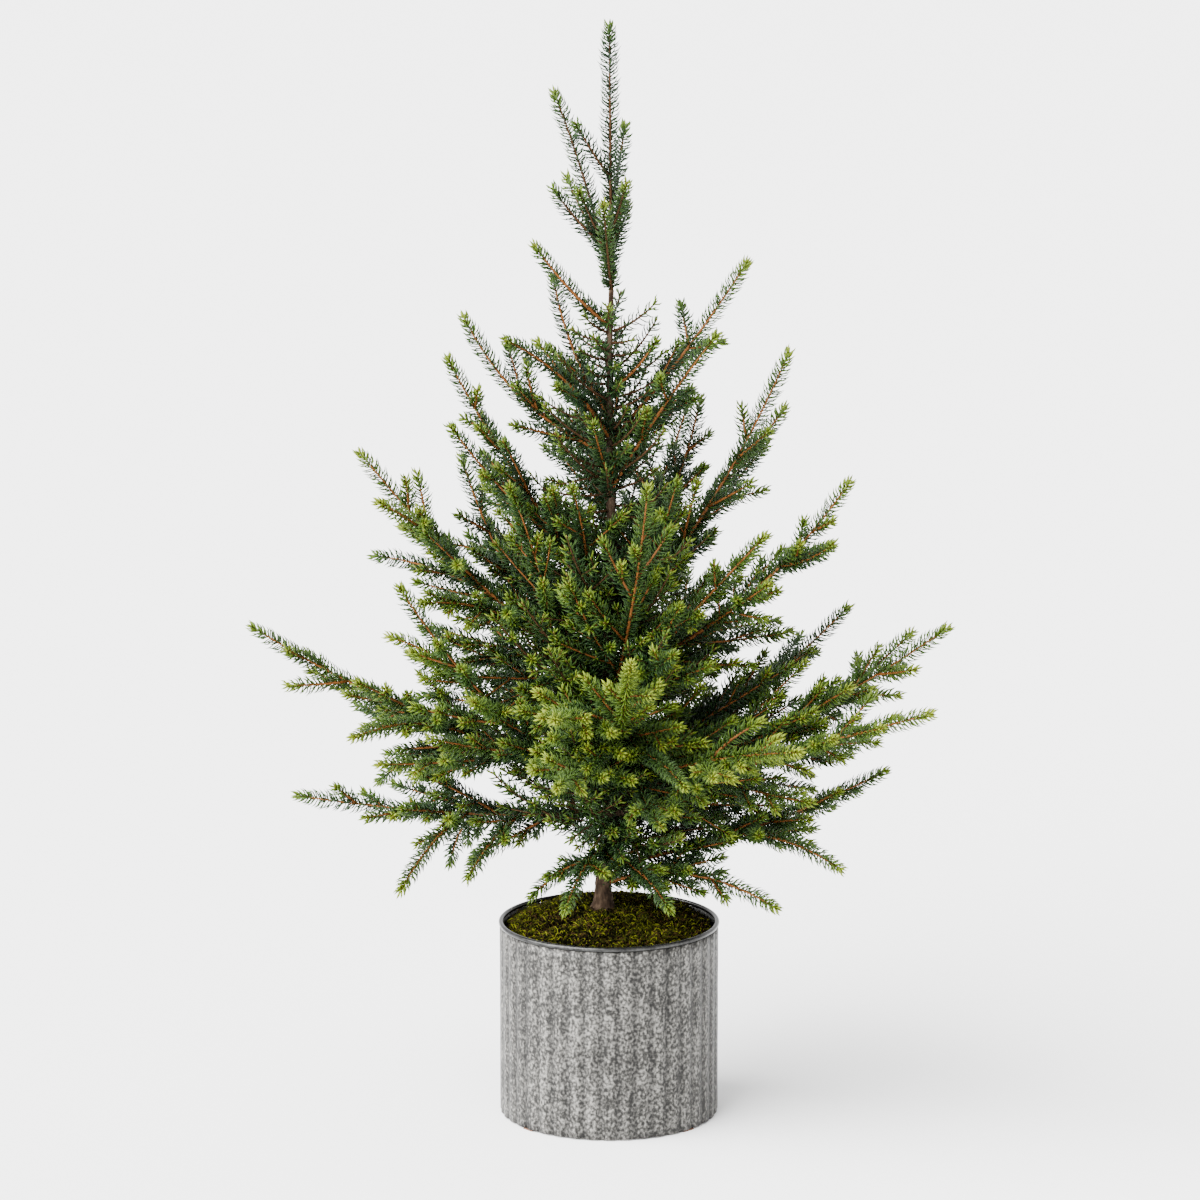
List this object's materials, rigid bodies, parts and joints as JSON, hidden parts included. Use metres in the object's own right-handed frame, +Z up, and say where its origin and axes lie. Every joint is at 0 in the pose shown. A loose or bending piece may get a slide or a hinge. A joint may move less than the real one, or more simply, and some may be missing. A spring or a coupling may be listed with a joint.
{
  "type": "potted spruce tree",
  "caption": "Young spruce tree with upswept needled boughs, rooted in mossy soil that fills a fluted galvanised steel pot with a rolled wire rim.",
  "frame": {"origin": "middle of the pot's flat underside", "axes": "+Z up along the trunk, -Y towards the viewer of the picture, +X to the viewer's right"},
  "size_m": [0.6914, 0.5346, 1.081],
  "materials": {
    "galvanised_steel": "mottled zinc spangle, matte to satin",
    "rim_wire": "dark steel, smooth and shiny",
    "pads": "dull dark brown",
    "moss": "shaggy olive and brown moss over soil",
    "bark": "rough scaly bark, grey brown on the trunk and orange brown on young shoots",
    "needles": "satin needles, bluish green inside and lime green at the tips"
  },
  "bodies": {
    "root": {"bough_back_4": "bark", "bough_back_5": "bark", "bough_back_6": "bark", "bough_front_4": "bark", "bough_left_10": "bark", "bough_left_11": "bark", "bough_left_8": "bark", "bough_left_9": "bark", "bough_right_10": "bark", "bough_right_11": "bark", "bough_right_6": "bark", "bough_right_8": "bark", "bough_right_9": "bark", "moss": "moss", "needles_back_1": "needles", "needles_back_2": "needles", "needles_back_3": "needles", "needles_back_4": "needles", "needles_back_5": "needles", "needles_back_6": "needles", "needles_front_1": "needles", "needles_front_2": "needles", "needles_front_3": "needles", "needles_front_4": "needles", "needles_front_5": "needles", "needles_front_6": "needles", "needles_front_7": "needles", "needles_front_8": "needles", "needles_front_9": "needles", "needles_leader": "needles", "needles_left_10": "needles", "needles_left_11": "needles", "needles_left_12": "needles", "needles_left_2": "needles", "needles_left_3": "needles", "needles_left_4": "needles", "needles_left_5": "needles", "needles_left_6": "needles", "needles_left_7": "needles", "needles_left_8": "needles", "needles_left_9": "needles", "needles_right_1": "needles", "needles_right_10": "needles", "needles_right_11": "needles", "needles_right_12": "needles", "needles_right_2": "needles", "needles_right_3": "needles", "needles_right_4": "needles", "needles_right_5": "needles", "needles_right_6": "needles", "needles_right_7": "needles", "needles_right_8": "needles", "needles_right_9": "needles", "pad_1": "pads", "pad_2": "pads", "pad_3": "pads", "pad_4": "pads", "pot": "galvanised_steel", "rim": "rim_wire", "trunk": "bark"}
  },
  "joints": []
}
